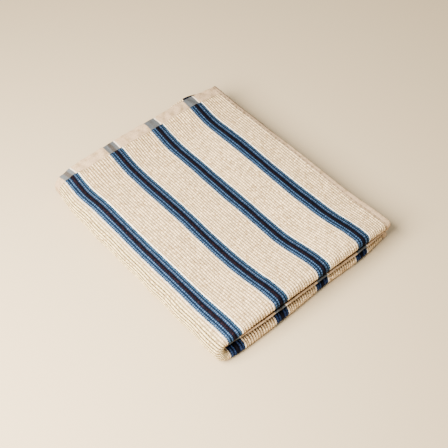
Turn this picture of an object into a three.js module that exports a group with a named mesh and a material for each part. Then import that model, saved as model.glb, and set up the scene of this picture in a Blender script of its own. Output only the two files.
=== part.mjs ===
// Ribbed cotton face towel, folded back and forth in three along its length and then in half
// across its width, lying on a flat surface.
// Millimetres, +Z up. X runs across the stripes and Y along them. The origin is the middle of
// the folded towel's footprint, on the surface that it lies on.
// The cloth is one closed solid. A point of it is found from its place across the width (u, with
// 0 at the lengthwise fold) and its place along the folded path (q, see pathPoint).

import * as THREE from 'three';

// The towel laid flat
const towelWidth = 500;
const towelLength = 900;
const clothThickness = 3.0;
const endHemLength = 14.5;
const endHemThickness = 1.8;
const hemStepLength = 1.5;
const sideHemThickness = 2.7;
const sideHemEdge = 1.4;

// The woven ribs run the whole length. Eight stripes stand 19 ribs apart, four on each side of the
// lengthwise fold, and a side hem is what the ribs leave of half the width.
const stripeSpacing = 59;
const ribsPerSpacing = 19;
const ribPitch = stripeSpacing / ribsPerSpacing;
const ribsPerHalf = 78;
const ribDepth = 0.9;

// The fold across the width, a half round of the whole stack
const layerPitch = 4.9;
const bendRadius = 13.2;
const bendHalf = bendRadius * Math.PI / 2;

// The folds along the length. A panel is the flat run between the centres of two folds.
const foldRadius = 5.8;
const hemReach = 8;
const panelLength = (towelLength - 2 * Math.PI * foldRadius - 2 * hemReach) / 3;
const frontLine = -panelLength / 2;
const backLine = panelLength / 2;
const frontSwell = 68;
const backSwell = 49;
const backSwellPast = 3;

// Distance between the middles of neighbouring layers at the two ends of the stack, where the
// round folds stand thicker than the flat layers. at is the distance in X from the first stripe.
// From the surface up: the first gap is from the lowest layer to the second, and the last gap is
// under the top layer.
const frontGaps = [
  { at: -10, gaps: [8.8, 3.5, 4.8, 3.5, 6.2] },
  { at: 0, gaps: [9.0, 3.5, 4.6, 3.5, 6.6] },
  { at: 60, gaps: [12.0, 3.5, 3.5, 4.0, 10.5] },
  { at: 120, gaps: [12.1, 3.5, 3.5, 4.0, 10.7] },
  { at: 178, gaps: [11.0, 3.5, 3.5, 3.8, 9.7] },
  { at: 220, gaps: [9.0, 3.4, 3.4, 3.4, 6.9] },
];
const backGaps = [
  { at: -10, gaps: [3.4, 7.4, 4.8, 7.4, 3.4] },
  { at: 0, gaps: [3.4, 9.0, 4.6, 9.0, 3.4] },
  { at: 60, gaps: [3.4, 11.6, 3.6, 11.4, 3.4] },
  { at: 120, gaps: [3.4, 11.8, 3.6, 11.6, 3.4] },
  { at: 178, gaps: [3.4, 11.2, 3.5, 11.2, 3.4] },
  { at: 220, gaps: [3.4, 8.6, 3.4, 8.6, 3.4] },
];

// How far the folds and the hems at the front and back stand out past their even lines. Each pair
// is for the lower half of the stack, and then the upper half.
const frontEdge = [
  { at: -24, fold: [1.3, 0.3], hem: [-13.0, -5.0] },
  { at: 0, fold: [4.5, 1.3], hem: [-12.0, -4.0] },
  { at: 30, fold: [3.9, 0.9], hem: [-10.0, -1.2] },
  { at: 60, fold: [2.8, 0.8], hem: [-9.0, -0.4] },
  { at: 120, fold: [-0.3, 1.0], hem: [-9.0, -0.8] },
  { at: 178, fold: [0.0, 0.6], hem: [-9.0, -1.0] },
  { at: 220, fold: [-3.6, 0.7], hem: [-10.0, -4.0] },
];
const backEdge = [
  { at: -24, fold: [-1.5, -2.0], hem: [-0.5, -0.5] },
  { at: 0, fold: [0.0, -1.5], hem: [0.5, 0.5] },
  { at: 60, fold: [-0.5, -0.5], hem: [-0.8, -0.8] },
  { at: 120, fold: [0.0, 0.5], hem: [-1.2, -1.2] },
  { at: 178, fold: [1.0, 6.5], hem: [-0.6, -0.6] },
  { at: 220, fold: [1.5, 4.0], hem: [-0.4, -0.4] },
];

// How far the lengthwise fold stands out past its even line, by the place in Y. The cloth beside
// it gives way over lengthwiseSpread.
const lengthwiseEdge = [
  { at: -140, out: 1.0 },
  { at: -60, out: 1.3 },
  { at: 40, out: 1.2 },
  { at: 104, out: 0.4 },
  { at: 130, out: -2.4 },
  { at: 148, out: -5.2 },
];
const lengthwiseSpread = 40;

// How far each layer's open side stands out past the others, from the outside of the stack in
const sideShift = [0, -1.4, -0.7];

// Gentle unevenness: waves in the layers' heights, a sideways drift of their open sides, and
// bumps along the lengthwise fold. The phases set one layer's waves apart from the next one's.
const waveHeight = 0.35;
const waveLengthX = 97;
const waveLengthY = 131;
const wavePhaseX = 1.7;
const wavePhaseY = 2.3;
const driftWidth = 0.7;
const driftLength = 215;
const bumpDepth = 0.45;
const bumpLength = 47;

// How finely the solid follows the cloth. The shares are of a side hem's width, of the flat cloth
// from the lengthwise fold to that hem, of half the lengthwise fold and of a fold's half turn, and
// the stations are places in Y that all panels share, so that the layers keep their distance.
const hemShares = [0, 0.18, 0.5, 0.82, 1];
const flatShares = [0.2, 0.4, 0.6, 0.8];
const bendShares = [0, 0.25, 0.5, 0.75, 1];
const foldShares = [0.2, 0.4, 0.6, 0.8];
const stations = [122, 108, 96, -20, -74, -92, -108, -122, -133];
const lowestVisibleRib = -5;
const noRibs = ribsPerHalf;

const layers = 6;
const pathEnd = 5;
const smallStepQ = 0.002;
const smallStepU = 0.02;
const tolerance = 0.01;
const halfWidth = towelWidth / 2;
const foldX = -(halfWidth - bendHalf - bendRadius) / 2;
const firstStripeX = foldX + stripeSpacing / 2 - bendHalf;
const ribbedHalf = ribsPerHalf * ribPitch;

const mix = (a, b, t) => a + (b - a) * t;

// A smooth curve through the rows of a table
function along(table, place, read) {
  const last = table.length - 1;
  if (place <= table[0].at) {
    return read(table[0]);
  }
  if (place >= table[last].at) {
    return read(table[last]);
  }
  let i = 0;
  while (place > table[i + 1].at) {
    i += 1;
  }
  const slopeAt = (k) => {
    if (k === 0 || k === last) {
      return 0;
    }
    return (read(table[k + 1]) - read(table[k - 1])) / (table[k + 1].at - table[k - 1].at);
  };
  const span = table[i + 1].at - table[i].at;
  const t = (place - table[i].at) / span;
  const rise = t * t * (3 - 2 * t);
  const leave = t * (1 - t) * (1 - t) * span * slopeAt(i);
  const arrive = t * t * (1 - t) * span * slopeAt(i + 1);
  return mix(read(table[i]), read(table[i + 1]), rise) + leave - arrive;
}

// 0 before a swelling starts and 1 where it ends, level at both
function swell(distance, length) {
  const t = Math.min(Math.max(distance / length, 0), 1);
  return 0.5 - 0.5 * Math.cos(Math.PI * t);
}

// Distance between the middles of layers k and k + 1 at a place on the footprint
function gapAt(k, x, y) {
  const place = x - firstStripeX;
  const front = swell(frontLine + frontSwell - y, frontSwell);
  const back = swell(y - (backLine + backSwellPast - backSwell), backSwell);
  const wave = waveHeight * Math.sin(2 * Math.PI * x / waveLengthX + wavePhaseX * k)
    * Math.cos(2 * Math.PI * y / waveLengthY + wavePhaseY * k);
  const level = layerPitch + wave * (1 - front) * (1 - back);
  const atFront = along(frontGaps, place, (row) => row.gaps[k]);
  const atBack = along(backGaps, place, (row) => row.gaps[k]);
  return level + (atFront - layerPitch) * front + (atBack - layerPitch) * back;
}

// Height of the middle of a layer. level 0 is the outside of the stack, 1 the middle panel and
// 2 the inside, and half is 1 for the upper half of the stack and -1 for the lower half.
function layerHeight(level, half, x, y) {
  const count = half > 0 ? layers - 1 - level : level;
  let height = clothThickness / 2;
  for (let k = 0; k < count; k += 1) {
    height += gapAt(k, x, y);
  }
  return height;
}

// Half of the cloth's thickness at a place on the path: the end hems are thinner
function halfThicknessAt(q) {
  const fromEnd = Math.min(q, pathEnd - q) * (panelLength + hemReach);
  const hem = 1 - swell(fromEnd - endHemLength, hemStepLength);
  return mix(clothThickness, endHemThickness, hem) / 2;
}

// Where the path is: the panels are whole numbers of q, and the folds between them as well.
// 0 to 1 outer panel, 1 to 2 front fold, 2 to 3 middle panel, 3 to 4 back fold, 4 to 5 inner.
// blend is how far a fold has come from its level to the next, and out how far it bulges.
function pathPoint(q) {
  const part = Math.min(Math.floor(q), pathEnd - 1);
  const t = q - part;
  const turned = (1 - Math.cos(Math.PI * t)) / 2;
  const bulge = Math.sin(Math.PI * t);
  if (part === 0) {
    return { level: 0, blend: 0, y: mix(backLine + hemReach, frontLine, t), out: 0 };
  }
  if (part === 1) {
    return { level: 0, blend: turned, y: frontLine, out: -bulge };
  }
  if (part === 2) {
    return { level: 1, blend: 0, y: mix(frontLine, backLine, t), out: 0 };
  }
  if (part === 3) {
    return { level: 1, blend: turned, y: backLine, out: bulge };
  }
  return { level: 2, blend: 0, y: mix(backLine, frontLine - hemReach, t), out: 0 };
}

// How far a panel's edges are out of line, fading to nothing in the middle of the panel. The
// inner panel has a hem at the front, and the outer panel at the back.
function edgeShift(x, y, upperShare, panel) {
  const place = x - firstStripeX;
  const foldShift = (row) => mix(...row.fold, upperShare);
  const hemShift = (row) => mix(...row.hem, upperShare);
  const frontShift = along(frontEdge, place, panel === 2 ? hemShift : foldShift);
  const backShift = along(backEdge, place, panel === 0 ? hemShift : foldShift);
  return backShift * swell(y, backLine) - frontShift * swell(-y, backLine);
}

// A point of the cloth's middle surface
function middlePoint(u, q) {
  const { level, blend, y: evenY, out } = pathPoint(q);
  const half = u >= 0 ? 1 : -1;
  const reach = Math.abs(u);
  const turn = Math.min(reach / bendHalf, 1) * Math.PI / 2;
  const upperShare = (1 + half * Math.sin(turn)) / 2;
  const flatX = foldX + Math.max(reach - bendHalf, 0);
  const nextLevel = Math.min(level + 1, 2);
  const y = evenY + edgeShift(flatX, evenY, upperShare, out === 0 ? level : 1);
  const heights = [1, -1].map((side) => {
    const here = layerHeight(level, side, flatX, y);
    const next = layerHeight(nextLevel, side, flatX, y);
    return { middle: mix(here, next, blend), depth: Math.abs(here - next) / 2 };
  });
  const [upper, lower] = heights;
  const foldDepth = mix(lower.depth, upper.depth, upperShare);
  const centre = (upper.middle + lower.middle) / 2;
  const radius = (upper.middle - lower.middle) / 2;
  const bump = bumpDepth * Math.sin(2 * Math.PI * y / bumpLength);
  const nearFold = 1 - swell(reach - bendHalf, lengthwiseSpread);
  const foldOut = along(lengthwiseEdge, y, (row) => row.out) * nearFold;
  const sidePlace = Math.max(reach - bendHalf, 0) / (halfWidth - bendHalf);
  const shift = mix(sideShift[level], sideShift[nextLevel], blend) * sidePlace * sidePlace;
  const drift = driftWidth * Math.sin(2 * Math.PI * y / driftLength + level) * sidePlace;
  const x = flatX - (radius + bump) * Math.cos(turn) - foldOut + shift + drift;
  const z = centre + half * radius * Math.sin(turn);
  return new THREE.Vector3(x, y + out * foldDepth, z);
}

// The direction out of the cloth's face at a point of its middle surface
function faceDirection(u, q) {
  const alongPath = middlePoint(u, Math.min(q + smallStepQ, pathEnd));
  alongPath.sub(middlePoint(u, Math.max(q - smallStepQ, 0)));
  const across = middlePoint(Math.min(u + smallStepU, halfWidth), q);
  across.sub(middlePoint(Math.max(u - smallStepU, -halfWidth), q));
  return alongPath.cross(across).normalize();
}

// How far the face or the back stands off the middle surface
function standOff(u, q, ribsFrom, isFace) {
  const half = halfThicknessAt(q);
  const intoHem = Math.abs(u) - ribbedHalf;
  if (intoHem > -tolerance) {
    const width = halfWidth - ribbedHalf;
    const roundEdge = Math.sqrt(Math.max(0, 1 - (2 * intoHem / width - 1) ** 2));
    return Math.min(half, mix(sideHemEdge, sideHemThickness, roundEdge) / 2);
  }
  if (!isFace || u < ribsFrom * ribPitch - tolerance) {
    return half;
  }
  const toCrest = Math.abs(u / ribPitch - Math.round(u / ribPitch)) * 2;
  return half - ribDepth * (1 - toCrest);
}

function clothPoint(u, q, ribsFrom, isFace) {
  const off = standOff(u, q, ribsFrom, isFace) * (isFace ? 1 : -1);
  return middlePoint(u, q).addScaledVector(faceDirection(u, q), off);
}

// Places across the width. Plain rows have few, and fine rows have each crest and valley from
// startRib on. The steps of the side hem are the same on both.
const hemSteps = hemShares.map((t) => mix(ribbedHalf, halfWidth, t));
const flatSteps = flatShares.map((t) => mix(bendHalf, ribbedHalf, t));
const bendSteps = bendShares.map((t) => bendHalf * t);
const plainHalf = [...bendSteps, ...flatSteps, ...hemSteps];
const plainColumns = [...plainHalf.map((u) => -u).reverse(), ...plainHalf.slice(1)];

function fineColumns(startRib) {
  const start = startRib * ribPitch;
  const columns = plainColumns.filter((u) => u < start - ribPitch / 2);
  for (let step = 2 * startRib; step <= 2 * ribsPerHalf; step += 1) {
    columns.push(step * ribPitch / 2);
  }
  columns.push(...hemSteps.slice(1));
  return columns;
}

// Places along the path. ribsFrom is the first rib that a row raises.
const outerStep = (y) => (backLine + hemReach - y) / (panelLength + hemReach);
const middleStep = (y) => 2 + (y - frontLine) / panelLength;
const innerStep = (y) => 4 + (backLine - y) / (panelLength + hemReach);
const hemStart = endHemLength / (panelLength + hemReach);
const hemEnd = (endHemLength + hemStepLength) / (panelLength + hemReach);

const upperFine = fineColumns(lowestVisibleRib);
const allFine = [...hemSteps.slice(1).map((u) => -u).reverse(), ...fineColumns(-ribsPerHalf)
  .filter((u) => u > -ribbedHalf - tolerance)];
const plainRow = (q) => ({ q, columns: plainColumns, ribsFrom: noRibs });
const ribbedRow = (q) => ({ q, columns: upperFine, ribsFrom: lowestVisibleRib });

const faceRows = [
  plainRow(0),
  { q: hemStart, columns: upperFine, ribsFrom: noRibs },
  ...[hemEnd, ...stations.map(outerStep)].map(ribbedRow),
  { q: 1, columns: allFine, ribsFrom: lowestVisibleRib },
  ...foldShares.map((t) => ({ q: 1 + t, columns: allFine, ribsFrom: -ribsPerHalf })),
  { q: 2, columns: allFine, ribsFrom: noRibs },
  ...[...stations].reverse().map((y) => plainRow(middleStep(y))),
  ...[0, ...foldShares, 1].map((t) => plainRow(3 + t)),
  ...stations.slice(0, -1).map((y) => plainRow(innerStep(y))),
  ...[pathEnd - hemEnd, pathEnd - hemStart, pathEnd].map(plainRow),
];
const backRows = faceRows.map(({ q }) => plainRow(q));

// Builds the closed mesh: every row's points, then the strips that join them
const positions = [];
const triangles = [];

function addRow(row, isFace) {
  const points = row.columns.map((u) => {
    const point = clothPoint(u, row.q, row.ribsFrom, isFace);
    positions.push(point.x, point.y, Math.max(point.z, 0));
    return { at: u, index: positions.length / 3 - 1 };
  });
  return points;
}

// Joins two runs of points, whatever number each has. flip turns the triangles over.
function joinRuns(first, second, flip) {
  let i = 0;
  let j = 0;
  while (i < first.length - 1 || j < second.length - 1) {
    const firstNext = i < first.length - 1 ? first[i + 1].at : Infinity;
    const secondNext = j < second.length - 1 ? second[j + 1].at : Infinity;
    const corner = firstNext <= secondNext ? first[i + 1] : second[j + 1];
    const triangle = [first[i].index, second[j].index, corner.index];
    triangles.push(...(flip ? triangle.reverse() : triangle));
    if (firstNext <= secondNext) {
      i += 1;
    } else {
      j += 1;
    }
  }
}

const face = faceRows.map((row) => addRow(row, true));
const back = backRows.map((row) => addRow(row, false));
for (let r = 0; r < face.length - 1; r += 1) {
  joinRuns(face[r], face[r + 1], false);
  joinRuns(back[r], back[r + 1], true);
}

// The four sides of the cloth
const lastRow = face.length - 1;
joinRuns(face[0], back[0], true);
joinRuns(face[lastRow], back[lastRow], false);
const sideRun = (rows, pick) => rows.map((row, r) => ({ at: r, index: pick(row).index }));
const first = (row) => row[0];
const final = (row) => row[row.length - 1];
joinRuns(sideRun(face, first), sideRun(back, first), false);
joinRuns(sideRun(face, final), sideRun(back, final), true);

const geometry = new THREE.BufferGeometry();
geometry.setAttribute('position', new THREE.Float32BufferAttribute(positions, 3));
geometry.setIndex(triangles);
geometry.computeBoundingBox();
const centre = geometry.boundingBox.getCenter(new THREE.Vector3());
geometry.translate(-centre.x, -centre.y, -geometry.boundingBox.min.z);
geometry.computeVertexNormals();

const ribbedCotton = new THREE.MeshStandardMaterial({
  name: 'ribbed_cotton',
  color: 0xe4d7c2,
  roughness: 0.95,
  metalness: 0,
});
const cloth = new THREE.Mesh(geometry, ribbedCotton);
cloth.name = 'towel';

const faceTowel = new THREE.Group();
faceTowel.name = 'face_towel';
faceTowel.add(cloth);

export default faceTowel;
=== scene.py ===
# A face towel of ribbed cotton with woven stripes, folded in three along its length and then in
# half across its width. Tables and sizes below are in millimetres, times MM where metres are used.

import math

import bpy
import numpy as np
from bpy.props import FloatProperty, FloatVectorProperty, IntProperty, PointerProperty
from bpy.types import Operator, Panel, PropertyGroup
from mathutils import Matrix, Vector, noise


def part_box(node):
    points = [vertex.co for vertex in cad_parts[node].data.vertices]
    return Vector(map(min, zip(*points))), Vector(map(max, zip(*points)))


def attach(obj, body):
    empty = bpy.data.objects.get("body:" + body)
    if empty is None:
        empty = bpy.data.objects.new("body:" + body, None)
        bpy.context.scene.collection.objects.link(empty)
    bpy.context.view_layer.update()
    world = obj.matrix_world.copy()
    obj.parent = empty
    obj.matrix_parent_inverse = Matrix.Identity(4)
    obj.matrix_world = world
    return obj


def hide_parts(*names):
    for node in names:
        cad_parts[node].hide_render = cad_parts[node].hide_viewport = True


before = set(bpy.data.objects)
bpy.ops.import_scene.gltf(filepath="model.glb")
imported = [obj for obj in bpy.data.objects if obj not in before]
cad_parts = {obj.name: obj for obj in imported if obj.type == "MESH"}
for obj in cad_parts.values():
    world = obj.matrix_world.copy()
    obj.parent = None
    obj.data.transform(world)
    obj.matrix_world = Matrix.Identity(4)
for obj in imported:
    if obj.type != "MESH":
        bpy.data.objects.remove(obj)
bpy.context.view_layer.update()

bl_info = {
    "name": "Folded face towel",
    "version": (1, 0, 0),
    "blender": (4, 5, 0),
    "location": "3D View > Sidebar > Towel",
    "description": "Builds a striped towel of ribbed cotton, folded in three and then in half",
    "category": "Object",
}

MM = 0.001
FLAT_MAP = "flat_place"
RAISED = "raised_ribs"

# The cloth laid flat. A stripe is five ribs wide, and the first stripe starts at the seventh rib
# from the lengthwise fold.
RIBS_PER_SPACING = 19
RIBS_PER_HALF = 78
FIRST_STRIPE_RIB = 7
STRIPE_RIBS = 5
CORE_RIB = 2

# The valleys in and beside a stripe, in even ribs from its start: its ribs differ in width
STRIPE_VALLEYS = (-1, -0.05, 1.22, 2.15, 3.42, 4.5, 5.45, 6.3, 7)
FIRST_VALLEY = -1

# The folds. A panel is the flat run between the centres of two folds.
LAYER_COUNT = 6
PATH_END = 5
LAYER_PITCH = 4.9
BEND_RADIUS = 13.2
BEND_HALF = BEND_RADIUS * math.pi / 2
FOLD_RADIUS = 5.8
HEM_REACH = 8
FRONT_SWELL = 68
BACK_SWELL = 49
BACK_SWELL_PAST = 3
HEM_STEP_LENGTH = 1.5

# Distance between the middles of neighbouring layers at the two ends of the stack, by the
# distance from the first stripe. The first gap is the lowest.
FRONT_GAPS = {
    -10: (8.8, 3.5, 4.8, 3.5, 6.2),
    0: (9.0, 3.5, 4.6, 3.5, 6.6),
    60: (12.0, 3.5, 3.5, 4.0, 10.5),
    120: (12.1, 3.5, 3.5, 4.0, 10.7),
    178: (11.0, 3.5, 3.5, 3.8, 9.7),
    220: (9.0, 3.4, 3.4, 3.4, 6.9),
}
BACK_GAPS = {
    -10: (3.4, 7.4, 4.8, 7.4, 3.4),
    0: (3.4, 9.0, 4.6, 9.0, 3.4),
    60: (3.4, 11.6, 3.6, 11.4, 3.4),
    120: (3.4, 11.8, 3.6, 11.6, 3.4),
    178: (3.4, 11.2, 3.5, 11.2, 3.4),
    220: (3.4, 8.6, 3.4, 8.6, 3.4),
}

# How far the folds and hems at the front and back stand out past their even lines, by the same
# distance. Each pair is for the lower half of the stack, and then the upper half.
FRONT_EDGE = {
    -24: {"fold": (1.3, 0.3), "hem": (-13.0, -5.0)},
    0: {"fold": (4.5, 1.3), "hem": (-12.0, -4.0)},
    30: {"fold": (3.9, 0.9), "hem": (-10.0, -1.2)},
    60: {"fold": (2.8, 0.8), "hem": (-9.0, -0.4)},
    120: {"fold": (-0.3, 1.0), "hem": (-9.0, -0.8)},
    178: {"fold": (0.0, 0.6), "hem": (-9.0, -1.0)},
    220: {"fold": (-3.6, 0.7), "hem": (-10.0, -4.0)},
}
BACK_EDGE = {
    -24: {"fold": (-1.5, -2.0), "hem": (-0.5, -0.5)},
    0: {"fold": (0.0, -1.5), "hem": (0.5, 0.5)},
    60: {"fold": (-0.5, -0.5), "hem": (-0.8, -0.8)},
    120: {"fold": (0.0, 0.5), "hem": (-1.2, -1.2)},
    178: {"fold": (1.0, 10.0), "hem": (-0.6, -0.6)},
    220: {"fold": (1.5, 5.0), "hem": (-0.4, -0.4)},
}

# How far the lengthwise fold stands out past its even line, by the place in Y
LENGTHWISE_EDGE = {-140: 1.0, -60: 1.3, 40: 1.2, 104: 0.4, 130: -2.4, 148: -5.2}
LENGTHWISE_SPREAD = 40

# How far each layer's open side stands out past the others, from the outside of the stack in
SIDE_SHIFT = (0, -1.4, -0.7)

# Gentle unevenness of the layers, their open sides and the lengthwise fold
WAVE_HEIGHT = 0.35
WAVE_LENGTH_X = 97
WAVE_LENGTH_Y = 131
WAVE_PHASE_X = 1.7
WAVE_PHASE_Y = 2.3
DRIFT_WIDTH = 0.7
DRIFT_LENGTH = 215
BUMP_DEPTH = 0.45
BUMP_LENGTH = 47

# Fine form that the solid leaves out: the rib's round, the rolled end of the hem and its sewing
RIB_SHARPNESS = 0.8
END_ROUND = 1.2
END_THINNING = 0.85
STITCH_PLACE = 1.5
STITCH_GROOVE = 0.3
STITCH_GROOVE_WIDTH = 0.6
TOLERANCE = 0.01

# Small unevenness of the hand-folded cloth: how far it goes, its length in millimetres, the draw
# of its noise, and over how many millimetres it fades at the cloth's edges
RIB_WANDER = 0.45
RIB_WANDER_LENGTH = 26
RIB_WANDER_DRAW = 11
RIB_WANDER_FADE = 10
SURFACE_LUMPS = 0.22
SURFACE_LUMP_LENGTH = 11
FACE_LUMP_DRAW = 0
BACK_LUMP_DRAW = 5
HEM_PUCKER = 1.0
HEM_PUCKER_LENGTH = 8
HEM_PUCKER_DRAW = 7
HEM_PUCKER_FADE = 4

# The first stripe is drawn towards the lengthwise fold where it meets the back edge, and its end
# in the hem a little further. START and WIDTH are places across the width, in millimetres.
SLIP = 4.2
SLIP_START = 28
SLIP_WIDTH = 52
SLIP_REACH = 80
HEM_SLIP = 2.8
HEM_SLIP_REACH = 16

# Under it, the fourth stripe of the upper half is drawn the other way on the back fold. MIDDLE and
# SPREAD are places along the folded path.
BACK_SLIP = 7.0
BACK_SLIP_MIDDLE = 3.2
BACK_SLIP_SPREAD = 0.8
BACK_SLIP_START = 120
BACK_SLIP_WIDTH = 80
BACK_SLIP_END = 213

# How finely the mesh follows the cloth, and the first rib that shows on the top
LOWEST_TOP_RIB = -7
TOP_ROWS = 84
HIDDEN_ROWS = 24
FOLD_ROWS = 14
BEND_COLUMNS = 8
PLAIN_COLUMNS = 26
SIDE_HEM_SHARES = (0, 0.04, 0.1, 0.18, 0.26, 0.34, 0.45, 0.6, 0.75, 0.87, 0.95, 1)
HEM_END_SHARES = (0, 0.08, 0.3, 0.6, 1)
END_HEM_ROWS = 8
HEM_STEP_ROWS = 3

# The weave, in metres where MM is used. Two numbers are where a change starts and where it is full,
# three are where a patch starts and ends and how soft its ends are. In a VALLEY they go from 0 in
# the middle of a rib to 1 between two ribs, in LOOP_GAP the same along a loop, and RIBS count from
# the lengthwise fold.
EDGE_WOBBLE = 0.2
WOBBLE_ACROSS = 4 * MM
WOBBLE_ALONG = 1.9 * MM

# Loops of the yarn along each rib, with heights in millimetres. TURNS count loops, and a DRAW is a
# place in the noise, which parts one rib, or one half of the cloth, from the others.
LOOP_LENGTH = 2.5 * MM
LOOP_DRIFT = 7 * MM
LOOP_DRIFT_TURNS = 1.6
LOOP_START_TURNS = 5
LOOP_START_DRAW = 0.5
RIB_DRAW = 3.7
HALF_DRAW = 200
LOOP_GAP = (0.35, 1.0)
LOOP_HEIGHT = 0.45
LOOP_LOWEST = 0.6
LOOP_SPREAD = 0.8
LOOP_DARKEST = 0.71
LOOP_TONES = 0.53

# Cream yarn: how much painted shade shows between ribs and between loops, and where that changes,
# and the painted light and painted shade on the bend
CREAM_VALLEY = (0.3, 0.95)
CREAM_GAP = 0.75
CREAM_GAP_NEAR_HEM = 0.5
CREAM_LOOP_GAP = 0.6
NEAR_HEM = 70 * MM
BEND_RIBS = (4.2, 6.2)
BEND_SHARE = 0.8
BEND_VALLEY = (0.32, 0.7)
BEND_GAP = 0.8
BEND_LOOP_GAP = 0.4
PALE_RIBS = (50, 64, 3)
PALENESS = 0.12
FLECK_CHANCE = 0.91
FLECK_SHARE = 0.75

# Stripes: how far the whiter ribs beside them reach, in ribs, the painted shade in their
# valleys and between their loops, the brown fibre in their core, where they are darker, and
# their painted shade on the lower half and past the back fold
WHITE_EDGE = 0.55
FAR_WHITE_EDGE = 0.35
STRIPE_VALLEY = (0.25, 0.8)
STRIPE_LOOP_GAP = 0.95
SPECKLE = 1.6 * MM
BROWN_SPECKLES = (0.48, 0.6)
BROWN_FADING = 0.8
FADING_RIBS = (15, 26)
FADING = 0.22
FADING_NEAR_HEM = 0.12
LOWER_HALF_SHADE_SHARE = 0.7
BACK_FOLD = (586 * MM, 592 * MM)
BACK_SHADE = 0.9

# Painted shade in the folds at the front, past their start, and on the inner end hem, from its end
FOLD_SHADE = (12.5 * MM, 34 * MM, 3 * MM)
FOLD_VALLEY = (0.3, 0.8)
FOLD_CREST_SHARE = 0.22
INNER_HEM_SHADE = (1.7 * MM, 14 * MM, 0.5 * MM)

# End hems: how much less deep they are near the lengthwise fold, and the hems' darker patches
END_HEM_SOFT = 0.4 * MM
HEM_SHORTENING = 3.5 * MM
HEM_SHORT_RIBS = (FIRST_STRIPE_RIB, 17)
HEM_PATCH = 7 * MM
HEM_PATCH_DRAW = 3.0
HEM_PATCHES = (0.45, 0.75)
HEM_PATCH_SHARE = 0.7

# The stripes in the end hems, in ribs from a stripe's start
HEM_BLOCK = (0.0, 4.2, 0.25)
HEM_CORE = (1.6, 2.9, 0.3)
HEM_CORE_RIBS = (30, 45)
HEM_CORE_FADING = 0.6
HEM_WHITE = (4.2, 4.7, 0.15)
HEM_WHITE_SHARE = 0.6

# Side hems: the crease at their inner edge, its stitches, and the painted shadow at their outer
# edge
CREASE_BACK = 3.0 * MM
CREASE_DEPTH = 2.6 * MM
CREASE_TURN = 120 * MM
STITCH_OFFSET = 0.8 * MM
STITCH_LINE = (0.4 * MM, 1.5 * MM)
STITCH_LENGTH = 7.0 * MM
STITCH_WOBBLE = 0.6
STITCH_HOLE = (0.1, 0.22)
STITCH_SHARE = 0.85
THREAD_SHARE = 0.5
THREAD_HEIGHT = 0.25
RIM_SHADE = (5.0 * MM, 6.4 * MM)
RIM_SHADE_ALONG = (90 * MM, 150 * MM)
RIM_SHADE_SHARE = 0.95

# Unevenness of the whole cloth, and the plain weave of the hems, with heights in millimetres
MOTTLE = 34 * MM
MOTTLE_ROUGHNESS = 0.6
MOTTLE_DARKEST = 0.9
MOTTLE_TONES = 0.2
GRAIN = 1.3 * MM
GRAIN_DRAW = 7.0
GRAIN_DEPTH = 0.95
FUZZ = 0.5 * MM
FUZZ_HEIGHT = 0.1
FLAT_WEAVE = 0.9 * MM
FLAT_WEAVE_HEIGHT = 0.06


def linear(red, green, blue):
    """A colour as a maker would name it, 0 to 255, in the linear values that shaders take."""
    def one(value):
        share = value / 255
        return share / 12.92 if share <= 0.04045 else ((share + 0.055) / 1.055) ** 2.4

    return (one(red), one(green), one(blue))


def paint(colour):
    return (*colour, 1)


class TowelClothSettings(PropertyGroup):
    """Sizes of the towel and of its weave"""

    width: FloatProperty(
        name="Width", description="Width of the cloth laid flat",
        default=500 * MM, unit="LENGTH")
    length: FloatProperty(
        name="Length", description="Length of the cloth laid flat",
        default=900 * MM, unit="LENGTH")
    thickness: FloatProperty(
        name="Thickness", description="Thickness of the ribbed cloth at its crests",
        default=3.0 * MM, unit="LENGTH")
    stripe_spacing: FloatProperty(
        name="Stripe spacing", description="Distance between the middles of two stripes",
        default=59 * MM, unit="LENGTH")
    rib_depth: FloatProperty(
        name="Rib depth", description="Depth of the valleys between the ribs",
        default=0.9 * MM, unit="LENGTH")
    steps_per_rib: IntProperty(
        name="Steps per rib", description="Mesh columns across one rib where it shows",
        default=5)
    end_hem_length: FloatProperty(
        name="End hem length", description="Length of the flat-woven hem at each end",
        default=14.5 * MM, unit="LENGTH")
    end_hem_thickness: FloatProperty(
        name="End hem thickness", description="Thickness of the flat-woven end hem",
        default=1.8 * MM, unit="LENGTH")
    side_hem_thickness: FloatProperty(
        name="Side hem thickness", description="Thickness of the rolled side hem",
        default=2.7 * MM, unit="LENGTH")
    side_hem_edge: FloatProperty(
        name="Side hem edge", description="Thickness of the side hem at its very edge",
        default=1.4 * MM, unit="LENGTH")


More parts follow.
